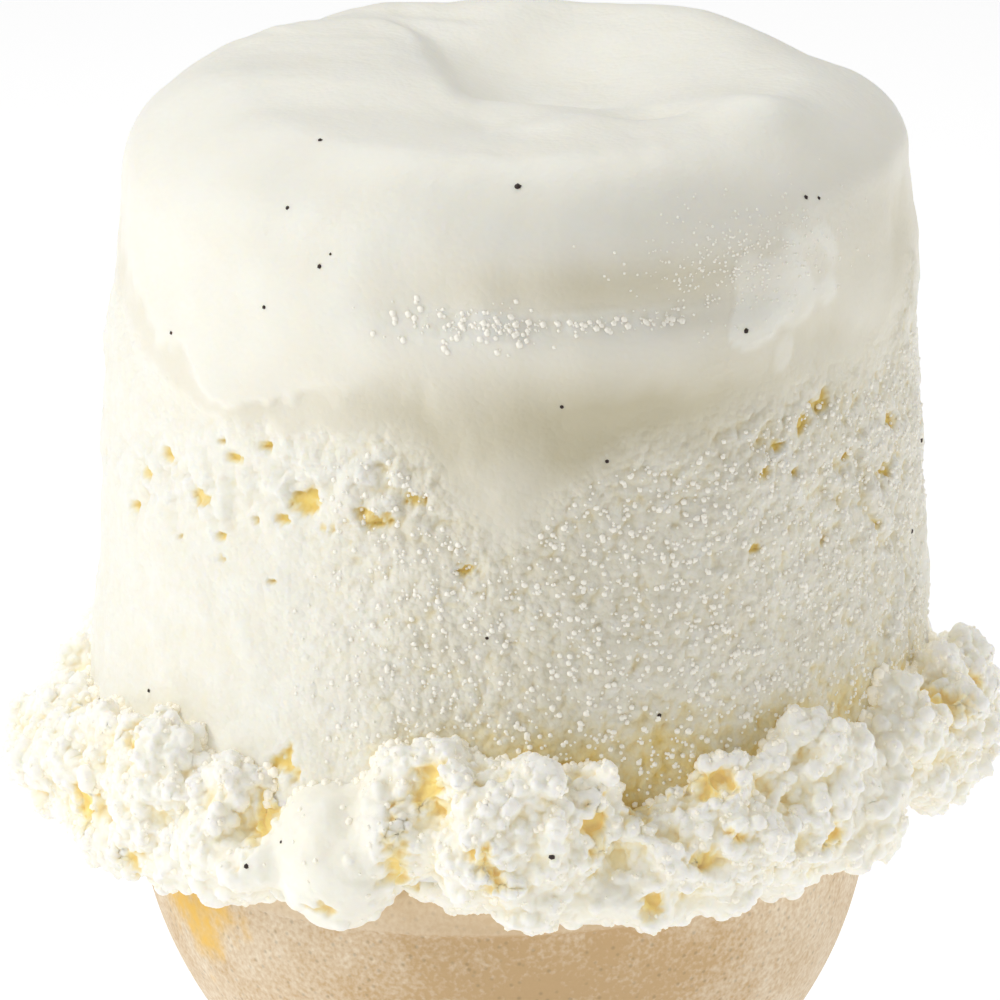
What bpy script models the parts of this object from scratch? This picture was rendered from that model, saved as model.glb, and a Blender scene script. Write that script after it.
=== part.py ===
"""Vanilla ice cream: a drum-shaped scoop with a melted cap and a crumbly skirt, in a flat-bottomed wafer cup.

The part stands on the foot of the wafer cup. Its origin is the middle of that foot, and -Y is the front.
"""

import math
import random

import bmesh
import bpy
from mathutils import Vector, noise

MM = 0.001

# Wafer cup, moulded: a thin-walled bowl with a lip band, on a tapered stem.
RIM_Z = 76.0 * MM
RIM_ROUND = 0.7 * MM
LIP_Z = 72.7 * MM
LIP_RADIUS = 27.1 * MM
WALL_RADIUS = 26.6 * MM
WALL = 2.2 * MM
BOWL_ARC = 30.0 * MM
BOWL_TOP_ANGLE = math.radians(5)
BOWL_LOW_ANGLE = math.radians(42)
BOWL_FLOOR_Z = 56.0 * MM
STEM_TOP_RADIUS = 18.5 * MM
STEM_TOP_Z = 53.2 * MM
STEM_LOW_RADIUS = 15.4 * MM
FOOT_RADIUS = 16.6 * MM
FOOT_Z = 3.6 * MM
FOOT_ROUND = 0.8 * MM
CUP_STEPS = 44
ARC_ROWS = 6
# The rim is a little higher on the right, by this much for each unit across.
RIM_TILT = 0.028

# Gap between the ice cream and the wafer.
GAP = 0.3 * MM

# Drum of ice cream.
TOP_Z = 127.2 * MM
SHOULDER_Z = 118.4 * MM
SHOULDER_INSET = 8.0 * MM
SHOULDER_RADIUS = 27.3 * MM
DRUM_FLARE = 0.0867
DRUM_LEAN = 0.0137
DRUM_FOOT_Z = 79.0 * MM
DRUM_STEPS = 76
SHOULDER_ROWS = 5
TOP_ROW = 3.6 * MM
CAP_ROW = 1.7 * MM
SIDE_ROW = 3.4 * MM
# Under the drum: a bevel at its foot, and the plug's corners below the foot, the lip and the bowl's floor.
FOOT_BEVEL_WIDTH = 1.0 * MM
FOOT_BEVEL_HEIGHT = 1.5 * MM
PLUG_TOP_DROP = 4.0 * MM
PLUG_MIDDLE_DROP = 6.0 * MM
PLUG_LOW_DROP = 1.0 * MM

# Melted cap, a smooth coat over the top whose lower edge runs down in tongues.
CAP_EDGE_Z = 109.8 * MM
CAP_PROUD = 0.8 * MM
CAP_STEP = 2.0 * MM
# Each tongue: azimuth of its middle in degrees (0 is the front, positive to the right), half width in
# degrees, and how far it runs below the cap's edge, or above it where negative.
TONGUES = (
    (-92, 12, -3.0 * MM),
    (-52, 15, 3.2 * MM),
    (-1, 6, 8.2 * MM),
    (14, 12, 3.4 * MM),
    (52, 12, -1.0 * MM),
    (82, 13, -7.0 * MM),
    (118, 10, 4.5 * MM),
    (150, 16, -1.5 * MM),
    (178, 9, 6.0 * MM),
    (214, 13, 2.5 * MM),
    (244, 10, -2.0 * MM),
)

# Fold across the cap's front, and the hollow in the top.
FOLD_AZIMUTH = 11.0
FOLD_HALF_WIDTH = 27.0
FOLD_Z = 118.6 * MM
FOLD_HEIGHT = 2.6 * MM
FOLD_DEPTH = 1.2 * MM
HOLLOW_CENTRE = Vector((2.5 * MM, -5.0 * MM))
HOLLOW_HALF_WIDTH = 11.5 * MM
HOLLOW_HALF_DEPTH = 8.0 * MM
HOLLOW_SINK = 2.4 * MM
WAVE_SIZE = 9.0 * MM
WAVE_HEIGHT = 0.45 * MM

# Skirt of lumps pressed out over the rim. Each lump: azimuth in degrees, height of its middle, half width
# along the rim, half height, how far it stands out from the axis, and its roughness from 0 to 1.
LUMP_DEPTH = 4.8 * MM
LUMPS = (
    (-90, 81.6 * MM, 6.4 * MM, 5.6 * MM, 36.2 * MM, 1.0),
    (-76, 77.6 * MM, 5.6 * MM, 5.4 * MM, 34.8 * MM, 1.0),
    (-63, 80.6 * MM, 6.0 * MM, 6.6 * MM, 35.4 * MM, 0.9),
    (-48, 80.0 * MM, 6.4 * MM, 7.0 * MM, 35.2 * MM, 0.9),
    (-36, 80.4 * MM, 5.0 * MM, 6.6 * MM, 33.8 * MM, 0.9),
    (-22, 80.4 * MM, 6.4 * MM, 5.4 * MM, 35.2 * MM, 0.35),
    (-1, 82.2 * MM, 6.2 * MM, 6.6 * MM, 35.8 * MM, 0.8),
    (14, 82.0 * MM, 5.2 * MM, 6.0 * MM, 34.6 * MM, 0.8),
    (27, 80.6 * MM, 6.0 * MM, 5.8 * MM, 34.8 * MM, 1.0),
    (40, 81.4 * MM, 5.8 * MM, 6.6 * MM, 35.4 * MM, 0.9),
    (53, 82.6 * MM, 5.0 * MM, 7.4 * MM, 35.0 * MM, 0.6),
    (67, 82.0 * MM, 5.8 * MM, 6.4 * MM, 36.0 * MM, 1.0),
    (83, 82.6 * MM, 6.4 * MM, 6.4 * MM, 36.4 * MM, 1.0),
)
BACK_LUMPS = 13
BACK_START = 96.0
BACK_END = 258.0
# Least and greatest of each of the same values for the lumps round the back, and how far they stray from
# even spacing, in degrees.
BACK_STRAY = 2.5
BACK_HEIGHT = (80.0 * MM, 82.4 * MM)
BACK_HALF_WIDTH = (5.4 * MM, 6.6 * MM)
BACK_HALF_HEIGHT = (5.6 * MM, 7.0 * MM)
BACK_REACH = (34.4 * MM, 36.0 * MM)
BACK_ROUGHNESS = (0.6, 1.0)
CRUMBS_A_LUMP = 3
CRUMB_RADIUS = 2.3 * MM
CRUMB_SIZES = (0.8, 1.25)
# Turn between a lump's crumbs in degrees and how far they stray, and their place on its outer face.
CRUMB_TURN = 120.0
CRUMB_STRAY = 70.0
CRUMB_SPREAD = 0.72
CRUMB_DEPTH = 0.4
COARSE_RAGGED = 0.34
FINE_RAGGED = 0.3
CRUMB_SEED = 7
# Share of the joined faces that the solid keeps.
FACES_KEPT = 0.52

ICE_CREAM_COLOUR = (0.86, 0.82, 0.71, 1.0)
WAFER_COLOUR = (0.68, 0.49, 0.27, 1.0)


def clear_scene():
    for obj in list(bpy.data.objects):
        bpy.data.objects.remove(obj, do_unlink=True)


def new_collection(name):
    collection = bpy.data.collections.new(name)
    bpy.context.scene.collection.children.link(collection)
    return collection


def material(name, colour, roughness):
    made = bpy.data.materials.new(name)
    made.use_nodes = True
    shader = made.node_tree.nodes["Principled BSDF"]
    shader.inputs["Base Color"].default_value = colour
    shader.inputs["Roughness"].default_value = roughness
    shader.inputs["Metallic"].default_value = 0.0
    return made


def smooth_step(value):
    """0 below 0, 1 above 1, and a smooth rise between them."""
    value = max(0.0, min(1.0, value))
    return value * value * (3.0 - 2.0 * value)


def degrees_from(azimuth, middle):
    """Turn from middle to azimuth, the short way round."""
    return (azimuth - middle + 180.0) % 360.0 - 180.0


def azimuth_of(point):
    """0 at the front, -Y, and 90 on the right, +X."""
    return math.degrees(math.atan2(point.x, -point.y))


def at_azimuth(azimuth, radius, height):
    turn = math.radians(azimuth)
    return Vector((radius * math.sin(turn), -radius * math.cos(turn), height))


def turned(name, profile, steps, collection):
    """A solid turned round Z from (radius, height) points that run from the axis back to the axis."""
    mesh = bpy.data.meshes.new(name)
    points = [(radius, 0.0, height) for radius, height in profile]
    mesh.from_pydata(points, [(i, i + 1) for i in range(len(points) - 1)], [])
    obj = bpy.data.objects.new(name, mesh)
    collection.objects.link(obj)
    screw = obj.modifiers.new("turn", "SCREW")
    screw.steps = steps
    screw.render_steps = steps
    screw.use_merge_vertices = True
    screw.merge_threshold = 0.00001
    screw.use_smooth_shade = True
    apply_modifiers(obj)
    return obj


def bowl_arc(radius, first_angle, last_angle, rows):
    """Points down the bowl's wall in section, on an arc that all its surfaces share the centre of."""
    centre_r = WALL_RADIUS - BOWL_ARC * math.cos(BOWL_TOP_ANGLE)
    centre_z = LIP_Z + BOWL_ARC * math.sin(BOWL_TOP_ANGLE)
    points = []
    for row in range(rows + 1):
        angle = first_angle + (last_angle - first_angle) * row / rows
        points.append((centre_r + radius * math.cos(angle), centre_z - radius * math.sin(angle)))
    return points


def cup_profile(grow):
    """Section of the wafer cup: up the inside from the middle of its floor, over the rim and down to the foot.

    grow moves every surface outwards by that much.
    """
    inner_arc = BOWL_ARC - WALL - grow
    arc_centre_z = LIP_Z + BOWL_ARC * math.sin(BOWL_TOP_ANGLE)
    floor_angle = math.asin((arc_centre_z - BOWL_FLOOR_Z - grow) / inner_arc)
    inside = bowl_arc(inner_arc, floor_angle, 0.0, ARC_ROWS)
    rim_r, rim_z = inside[-1][0], RIM_Z + grow
    lip = LIP_RADIUS + grow
    rim = [
        (rim_r, rim_z - RIM_ROUND),
        (rim_r + RIM_ROUND, rim_z),
        (lip - RIM_ROUND, rim_z),
        (lip, rim_z - RIM_ROUND),
        (lip, LIP_Z + RIM_ROUND - grow),
    ]
    outside = bowl_arc(BOWL_ARC + grow, BOWL_TOP_ANGLE, BOWL_LOW_ANGLE, ARC_ROWS)
    stem = [
        (STEM_TOP_RADIUS + grow, STEM_TOP_Z),
        (STEM_LOW_RADIUS + grow, FOOT_Z + FOOT_RADIUS - STEM_LOW_RADIUS),
        (FOOT_RADIUS + grow, FOOT_Z),
        (FOOT_RADIUS + grow, FOOT_ROUND),
        (FOOT_RADIUS - FOOT_ROUND + grow, 0.0),
        (0.0, 0.0),
    ]
    return [(0.0, BOWL_FLOOR_Z + grow)] + inside + rim + outside + stem


def tilt_rim(obj):
    """Lifts the bowl's right side and drops its left, from nothing at its floor to all at the rim."""
    for vertex in obj.data.vertices:
        share = smooth_step((vertex.co.z - BOWL_FLOOR_Z) / (RIM_Z - BOWL_FLOOR_Z))
        vertex.co.z += RIM_TILT * vertex.co.x * share


def wafer_cone(collection):
    cup = turned("wafer_cone", cup_profile(0.0), CUP_STEPS, collection)
    tilt_rim(cup)
    cup.data.materials.append(material("moulded_wafer", WAFER_COLOUR, 0.75))
    cup.data.set_sharp_from_angle(angle=math.radians(40))
    return cup


def drum_radius(height):
    return SHOULDER_RADIUS + DRUM_FLARE * (SHOULDER_Z - height)


def drum_profile():
    """Section of the drum from the middle of its top, down its side and into the bowl as a plug."""
    top_radius = SHOULDER_RADIUS - SHOULDER_INSET
    top_rows = round(top_radius / TOP_ROW)
    profile = [(top_radius * row / top_rows, TOP_Z) for row in range(top_rows)]
    for row in range(SHOULDER_ROWS):
        angle = math.radians(90.0 * (1.0 - row / SHOULDER_ROWS))
        radius = top_radius + SHOULDER_INSET * math.cos(angle)
        profile.append((radius, SHOULDER_Z + (TOP_Z - SHOULDER_Z) * math.sin(angle)))
    lowest_tongue = CAP_EDGE_Z - max(drop for _, _, drop in TONGUES) - CAP_STEP
    height = SHOULDER_Z
    while height > DRUM_FOOT_Z:
        profile.append((drum_radius(height), height))
        height -= CAP_ROW if height > lowest_tongue else SIDE_ROW
    profile.append((drum_radius(DRUM_FOOT_Z) - FOOT_BEVEL_WIDTH, DRUM_FOOT_Z - FOOT_BEVEL_HEIGHT))
    # The plug is a little wider than the bowl, and the wafer cup with its gap is cut out of it.
    low_z = BOWL_FLOOR_Z - PLUG_LOW_DROP
    profile.append((WALL_RADIUS - 0.5 * WALL, DRUM_FOOT_Z - PLUG_TOP_DROP))
    profile.append((WALL_RADIUS - WALL, LIP_Z - PLUG_MIDDLE_DROP))
    profile.append((STEM_TOP_RADIUS, low_z))
    profile.append((0.0, low_z))
    return profile


def cap_edge(azimuth):
    """Height of the melted cap's lower edge."""
    height = CAP_EDGE_Z
    for middle, half_width, drop in TONGUES:
        height -= drop * math.exp(-((degrees_from(azimuth, middle) / half_width) ** 2))
    return height


def shape_drum(drum):
    """Gives the turned drum its lean, melted cap, fold, hollow top and uneven side."""
    for vertex in drum.data.vertices:
        point = vertex.co
        if point.z < DRUM_FOOT_Z:
            continue
        azimuth = azimuth_of(point)
        outwards = Vector((point.x, point.y, 0.0)).normalized()
        side = smooth_step((TOP_Z - point.z) / (TOP_Z - SHOULDER_Z))
        covered = smooth_step((point.z - cap_edge(azimuth)) / CAP_STEP)
        wave = noise.noise(point / WAVE_SIZE)
        proud = side * (CAP_PROUD * covered + WAVE_HEIGHT * wave)
        across = degrees_from(azimuth, FOLD_AZIMUTH) / FOLD_HALF_WIDTH
        above = (point.z - FOLD_Z - FOLD_HEIGHT) / FOLD_HEIGHT
        proud -= FOLD_DEPTH * math.exp(-(across**4) - above**2)
        moved = point + outwards * proud
        from_hollow = Vector((point.x, point.y)) - HOLLOW_CENTRE
        hollow = (from_hollow.x / HOLLOW_HALF_WIDTH) ** 2 + (from_hollow.y / HOLLOW_HALF_DEPTH) ** 2
        moved.z -= (1.0 - side) * (HOLLOW_SINK * math.exp(-hollow * hollow) - WAVE_HEIGHT * wave)
        moved.x += DRUM_LEAN * (point.z - BOWL_FLOOR_Z)
        vertex.co = moved


def lump(name, centre, half_size, azimuth, rough, subdivisions, collection):
    """An uneven ball of ice cream, with half_size across, towards the axis and up."""
    shape = bmesh.new()
    bmesh.ops.create_icosphere(shape, subdivisions=subdivisions, radius=1.0)
    turn = math.radians(azimuth)
    for vertex in shape.verts:
        at = vertex.co.copy()
        coarse = noise.noise(at * 1.3 + centre / MM)
        fine = noise.noise(at * 3.2 - centre / MM)
        at *= 1.0 + rough * (COARSE_RAGGED * coarse + FINE_RAGGED * fine)
        across, inwards, up = (at[i] * half_size[i] for i in range(3))
        vertex.co = centre + Vector(
            (
                across * math.cos(turn) - inwards * math.sin(turn),
                across * math.sin(turn) + inwards * math.cos(turn),
                up,
            )
        )
    mesh = bpy.data.meshes.new(name)
    shape.to_mesh(mesh)
    shape.free()
    obj = bpy.data.objects.new(name, mesh)
    collection.objects.link(obj)
    return obj


def back_lumps(draw):
    """Lumps like those of the front, spread evenly round the back."""
    for number in range(BACK_LUMPS):
        share = number / (BACK_LUMPS - 1)
        yield (
            BACK_START + (BACK_END - BACK_START) * share + draw.uniform(-BACK_STRAY, BACK_STRAY),
            draw.uniform(*BACK_HEIGHT),
            draw.uniform(*BACK_HALF_WIDTH),
            draw.uniform(*BACK_HALF_HEIGHT),
            draw.uniform(*BACK_REACH),
            draw.uniform(*BACK_ROUGHNESS),
        )


def skirt(collection):
    """The lumps over the rim, each with smaller crumbs on its outer face."""
    draw = random.Random(CRUMB_SEED)
    for number, (azimuth, height, half_width, half_height, reach, rough) in enumerate(
        list(LUMPS) + list(back_lumps(draw))
    ):
        centre = at_azimuth(azimuth, reach - LUMP_DEPTH, height)
        centre.z += RIM_TILT * centre.x
        half_size = Vector((half_width, LUMP_DEPTH, half_height))
        lump(f"lump_{number}", centre, half_size, azimuth, rough, 3, collection)
        for crumb in range(CRUMBS_A_LUMP):
            turn = math.radians(CRUMB_TURN * crumb + draw.uniform(0.0, CRUMB_STRAY))
            size = CRUMB_RADIUS * draw.uniform(*CRUMB_SIZES) * (0.6 + 0.4 * rough)
            aside = CRUMB_SPREAD * half_width / reach * math.cos(turn)
            at = at_azimuth(
                azimuth + math.degrees(aside),
                reach - CRUMB_DEPTH * LUMP_DEPTH - 0.5 * size,
                centre.z + CRUMB_SPREAD * half_height * math.sin(turn),
            )
            shape = Vector((size, size, size))
            lump(f"crumb_{number}_{crumb}", at, shape, azimuth, 1.0, 2, collection)


def apply_modifiers(obj):
    graph = bpy.context.evaluated_depsgraph_get()
    obj.data = bpy.data.meshes.new_from_object(obj.evaluated_get(graph))
    obj.modifiers.clear()


def apply_boolean(obj, name, operation, operand):
    cut = obj.modifiers.new(name, "BOOLEAN")
    cut.operation = operation
    cut.solver = "MANIFOLD"
    if isinstance(operand, bpy.types.Collection):
        cut.operand_type = "COLLECTION"
        cut.collection = operand
    else:
        cut.object = operand
    apply_modifiers(obj)


def ice_cream(collection, helpers):
    """Drum and skirt joined into one solid, with the wafer cup and its gap cut out of it."""
    drum = turned("ice_cream", drum_profile(), DRUM_STEPS, collection)
    shape_drum(drum)
    skirt(helpers)
    apply_boolean(drum, "join_skirt", "UNION", helpers)
    for obj in list(helpers.objects):
        bpy.data.objects.remove(obj, do_unlink=True)
    thinned = drum.modifiers.new("thin_faces", "DECIMATE")
    thinned.ratio = FACES_KEPT
    apply_modifiers(drum)
    clearance = turned("clearance", cup_profile(GAP), CUP_STEPS, helpers)
    tilt_rim(clearance)
    apply_boolean(drum, "clear_wafer", "DIFFERENCE", clearance)
    bpy.data.objects.remove(clearance, do_unlink=True)
    drum.data.materials.clear()
    drum.data.materials.append(material("vanilla_ice_cream", ICE_CREAM_COLOUR, 0.6))
    drum.data.shade_smooth()
    drum.data.set_sharp_from_angle(angle=math.radians(50))
    return drum


def main():
    clear_scene()
    part = new_collection("vanilla_ice_cream")
    helpers = new_collection("helpers")
    wafer_cone(part)
    ice_cream(part, helpers)


main()
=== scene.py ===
"""Looks of a vanilla ice cream: a drum-shaped scoop with melted cap and crumbly skirt, in a wafer cup."""

import math
import random

import bpy
import numpy as np
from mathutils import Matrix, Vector, noise
from mathutils.bvhtree import BVHTree
from mathutils.kdtree import KDTree


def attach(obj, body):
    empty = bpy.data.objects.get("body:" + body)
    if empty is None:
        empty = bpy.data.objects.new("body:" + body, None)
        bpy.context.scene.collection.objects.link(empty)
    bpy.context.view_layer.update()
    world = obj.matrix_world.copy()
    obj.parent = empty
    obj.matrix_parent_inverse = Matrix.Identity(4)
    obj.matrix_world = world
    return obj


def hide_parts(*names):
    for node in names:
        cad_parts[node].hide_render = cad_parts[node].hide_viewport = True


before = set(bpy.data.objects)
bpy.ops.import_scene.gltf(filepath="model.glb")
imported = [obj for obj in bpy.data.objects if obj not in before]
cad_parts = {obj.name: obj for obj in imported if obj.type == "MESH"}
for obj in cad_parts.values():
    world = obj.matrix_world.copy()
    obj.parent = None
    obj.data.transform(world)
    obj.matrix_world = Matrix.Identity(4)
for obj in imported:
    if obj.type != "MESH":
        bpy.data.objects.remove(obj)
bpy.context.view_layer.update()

# Wafer cup
#
# The real one is a batter of wheat flour and starch, baked hard between the halves of a hot iron mould. Its
# bowl is thin-walled and convex, with a lip band round the rim, and it stands on a tapered stem and foot.
MM = 0.001
RIM_Z = 76.0 * MM
RIM_ROUND = 0.7 * MM
LIP_Z = 72.7 * MM
LIP_RADIUS = 27.1 * MM
WALL_RADIUS = 26.6 * MM
WALL = 2.2 * MM
BOWL_ARC = 30.0 * MM
BOWL_TOP_ANGLE = math.radians(5)
BOWL_LOW_ANGLE = math.radians(42)
BOWL_INSIDE_ANGLE = math.radians(43.5)
BOWL_FLOOR_Z = 56.0 * MM
STEM_TOP_RADIUS = 18.5 * MM
STEM_TOP_Z = 53.2 * MM
STEM_LOW_RADIUS = 15.4 * MM
STEM_ROUND = 1.6 * MM
STEM_ROWS = 24
FOOT_RADIUS = 16.6 * MM
FOOT_Z = 3.6 * MM
FOOT_NECK = 1.2 * MM
FOOT_ROUND = 0.8 * MM
LIP_BULGE = 0.05 * MM
LIP_BULGE_DROP = 1.6 * MM
LIP_ROUND = 0.42 * MM
CUP_POLE_RADIUS = 0.5 * MM
CUP_COLUMNS = 200
RIM_TILT = 0.028
UNEVEN_DEPTH = 0.10 * MM
UNEVEN_SIZE = 9.0 * MM

WAFER_PALE = "#F0E1C9"
WAFER_BROWN = "#CFAE80"
WAFER_LIP = "#E8D3B4"
WAFER_STAIN = "#F3C660"
GRAIN_MM = 0.38
PORE_MM = 0.8
BLOTCH_MM = 4.0
GRAIN_BUMP = 0.15 * MM
LIP_FADE = 0.3 * MM
STAIN_PLACE = (-22.6 * MM, -14.0 * MM, 70.6 * MM)
STAIN_RADIUS = 5.8 * MM
STAIN_FADE = 3.6 * MM
STAIN_RAGS_MM = 3.5
STAIN_MOTTLE_MM = 1.2
# Painted shadow of the skirt on the wafer's front: its middle and its reach.
PAINTED_SHADOW_PLACE = (3.0 * MM, -25.0 * MM, 64.0 * MM)
PAINTED_SHADOW_RADIUS = 20.0 * MM


def smooth_step(value):
    """0 below 0, 1 above 1, and a smooth rise between them."""
    value = max(0.0, min(1.0, value))
    return value * value * (3.0 - 2.0 * value)


def deselect_all():
    bpy.ops.object.select_all(action="DESELECT")


def only(obj):
    """Makes obj the one selected and active object."""
    deselect_all()
    obj.select_set(True)
    bpy.context.view_layer.objects.active = obj


def apply_modifiers(obj):
    only(obj)
    for modifier in list(obj.modifiers):
        bpy.ops.object.modifier_apply(modifier=modifier.name)


def finish_mesh(obj, name):
    """Names the piece, points its faces outwards and shades it smooth."""
    obj.name = name
    obj.data.name = name
    only(obj)
    bpy.ops.object.mode_set(mode="EDIT")
    bpy.ops.mesh.select_all(action="SELECT")
    bpy.ops.mesh.remove_doubles(threshold=0.000001)
    bpy.ops.mesh.normals_make_consistent(inside=False)
    bpy.ops.object.mode_set(mode="OBJECT")
    bpy.ops.object.shade_smooth()


def turned(name, profile, columns):
    """A turned piece, ring by ring from a circle: each (radius, height) is extruded from the one before."""
    deselect_all()
    radius, height = profile[0]
    bpy.ops.mesh.primitive_circle_add(vertices=columns, radius=radius, location=(0, 0, height))
    obj = bpy.context.object
    bpy.ops.object.transform_apply(location=True, rotation=False, scale=False)
    bpy.ops.object.mode_set(mode="EDIT")
    bpy.ops.mesh.select_all(action="SELECT")
    bpy.ops.mesh.edge_face_add()
    bpy.ops.mesh.select_all(action="SELECT")
    for next_radius, next_height in profile[1:]:
        bpy.ops.mesh.extrude_region_move(
            TRANSFORM_OT_translate={"value": (0.0, 0.0, next_height - height)}
        )
        grow = next_radius / radius
        bpy.ops.transform.resize(value=(grow, grow, 1.0), center_override=(0.0, 0.0, next_height))
        radius, height = next_radius, next_height
    bpy.ops.object.mode_set(mode="OBJECT")
    finish_mesh(obj, name)
    return obj


def bowl_arc(radius, first_angle, last_angle, rows):
    """Points along the bowl's wall in section, on an arc that all its surfaces share the centre of."""
    centre_r = WALL_RADIUS - BOWL_ARC * math.cos(BOWL_TOP_ANGLE)
    centre_z = LIP_Z + BOWL_ARC * math.sin(BOWL_TOP_ANGLE)
    angles = [first_angle + (last_angle - first_angle) * row / rows for row in range(rows + 1)]
    return [(centre_r + radius * math.cos(a), centre_z - radius * math.sin(a)) for a in angles]


def round_corner(corner, before, after, size, rows=3):
    """Points that round the corner of an outline between the points before and after it."""
    corner, before, after = Vector(corner), Vector(before), Vector(after)
    start = corner + (before - corner).normalized() * size
    end = corner + (after - corner).normalized() * size
    points = []
    for row in range(rows + 1):
        t = row / rows
        points.append(tuple(start * (1 - t) ** 2 + corner * 2 * t * (1 - t) + end * t * t))
    return points


def linear(code):
    """Linear colour of an sRGB hex value, with alpha 1."""
    parts = [int(code[i : i + 2], 16) / 255.0 for i in (1, 3, 5)]
    return [p / 12.92 if p <= 0.04045 else ((p + 0.055) / 1.055) ** 2.4 for p in parts] + [1.0]


def add_node(tree, kind, settings=None, **links):
    """One node with its settings, and its inputs set to a value or linked from another node's output."""
    made = tree.nodes.new(kind)
    for key, value in (settings or {}).items():
        setattr(made, key, value)
    for key, value in links.items():
        slot = made.inputs[int(key[1:]) if key[1:].isdigit() else key.replace("_", " ")]
        if isinstance(value, bpy.types.NodeSocket):
            tree.links.new(value, slot)
        else:
            slot.default_value = value
    return made


def new_material(name, roughness, glow="#000000", glow_strength=0.0):
    """A material with its node tree and shader, and a faint glow where it has one."""
    made = bpy.data.materials.new(name)
    made.use_nodes = True
    shader = made.node_tree.nodes["Principled BSDF"]
    shader.inputs["Roughness"].default_value = roughness
    if glow_strength:
        shader.inputs["Emission Color"].default_value = linear(glow)
        shader.inputs["Emission Strength"].default_value = glow_strength
    return made, made.node_tree, shader


def plain_material(name, colour, roughness, glow="#000000", glow_strength=0.0):
    """A material of one even colour."""
    made, _, shader = new_material(name, roughness, glow, glow_strength)
    shader.inputs["Base Color"].default_value = linear(colour)
    return made


def maths_in(tree):
    """A function that adds one maths node to that tree and gives its result."""

    def maths(operation, first, second, third=0.0):
        made = add_node(tree, "ShaderNodeMath", {"operation": operation}, i0=first, i1=second, i2=third)
        return made.outputs[0]

    return maths


def clamped(tree, value):
    """That value kept between 0 and 1."""
    return add_node(tree, "ShaderNodeClamp", i0=value).outputs[0]


def mixed(tree, share, first, second, blend="MIX"):
    """The first colour with that share of the second in it."""
    return add_node(
        tree, "ShaderNodeMix", {"data_type": "RGBA", "blend_type": blend}, i0=share, i6=first, i7=second
    ).outputs[2]


def noise_of(tree, place, size_mm, detail, roughness=0.5):
    """Soft noise with features of that size."""
    return add_node(
        tree, "ShaderNodeTexNoise", Vector=place, Scale=1000 / size_mm, Detail=detail, Roughness=roughness
    ).outputs[0]


def distance_from(tree, place, middle):
    """Distance of each place from one point, in metres."""
    return add_node(tree, "ShaderNodeVectorMath", {"operation": "DISTANCE"}, i0=place, i1=middle).outputs[1]


def ramp(tree, factor, stops):
    """A colour ramp of (place, hex colour) stops, or grey values where a stop has a number."""
    made = add_node(tree, "ShaderNodeValToRGB", i0=factor)
    elements = made.color_ramp.elements
    while len(elements) < len(stops):
        elements.new(0.5)
    for element, (place, colour) in zip(elements, stops):
        element.position = place
        element.color = linear(colour) if isinstance(colour, str) else (colour, colour, colour, 1.0)
    return made.outputs[0]


inside = bowl_arc(BOWL_ARC - WALL, BOWL_INSIDE_ANGLE, 0.0, 20)
rim_r = inside[-1][0]
rim_points = [(rim_r, RIM_Z), (LIP_RADIUS, RIM_Z), (LIP_RADIUS, LIP_Z), (WALL_RADIUS, LIP_Z)]
cup_profile = [(CUP_POLE_RADIUS, inside[0][1])] + inside
cup_profile += round_corner(rim_points[0], inside[-1], rim_points[1], RIM_ROUND)
cup_profile += round_corner(rim_points[1], rim_points[0], rim_points[2], RIM_ROUND)
cup_profile += [(LIP_RADIUS + LIP_BULGE, RIM_Z - LIP_BULGE_DROP)]
cup_profile += round_corner(rim_points[2], rim_points[1], rim_points[3], LIP_ROUND)
cup_profile += bowl_arc(BOWL_ARC, BOWL_TOP_ANGLE + 0.008, BOWL_LOW_ANGLE, 34)
stem_corner = (STEM_TOP_RADIUS, STEM_TOP_Z)
stem_low = (STEM_LOW_RADIUS, FOOT_Z + FOOT_NECK)
cup_profile += round_corner(stem_corner, cup_profile[-1], stem_low, STEM_ROUND)
for row in range(1, STEM_ROWS):
    share = row / STEM_ROWS
    row_radius = stem_corner[0] + (stem_low[0] - stem_corner[0]) * share
    row_z = stem_corner[1] - STEM_ROUND + (stem_low[1] - stem_corner[1] + STEM_ROUND) * share
    cup_profile.append((row_radius, row_z))
foot_top = (FOOT_RADIUS, FOOT_Z)
foot_low = (FOOT_RADIUS, 0.0)
cup_profile += round_corner(stem_low, cup_profile[-1], foot_top, 0.8 * MM)
cup_profile += round_corner(foot_top, stem_low, foot_low, 0.5 * MM)
cup_profile += round_corner(foot_low, foot_top, (0.0, 0.0), FOOT_ROUND)
cup_profile += [(CUP_POLE_RADIUS, 0.0)]

wafer_cup = turned("wafer_cup", cup_profile, CUP_COLUMNS)
for vertex in wafer_cup.data.vertices:
    point = vertex.co
    share = smooth_step((point.z - BOWL_FLOOR_Z) / (RIM_Z - BOWL_FLOOR_Z))
    point.z += RIM_TILT * point.x * share
    if point.z > FOOT_Z:
        unevenness = UNEVEN_DEPTH * noise.noise(point / UNEVEN_SIZE)
        vertex.co = point + Vector((point.x, point.y, 0.0)).normalized() * unevenness

# Baked wafer: matt, with a fine grain of brown pores from the steam, paler on the lip where the mould's two
# halves met, and a stain where melted cream has soaked in. Its front below the rim is browner with painted
# shadow of the skirt.
baked_wafer, tree, shader = new_material("baked_wafer", 0.7)
maths = maths_in(tree)
place = add_node(tree, "ShaderNodeTexCoord").outputs["Object"]
grain = noise_of(tree, place, GRAIN_MM, 2.0)
blotch = noise_of(tree, place, BLOTCH_MM, 4.0)
pore = add_node(tree, "ShaderNodeTexVoronoi", Vector=place, Scale=1000 / PORE_MM).outputs[0]
brown = maths("MULTIPLY_ADD", grain, 0.55, maths("MULTIPLY", blotch, 0.35))
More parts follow.
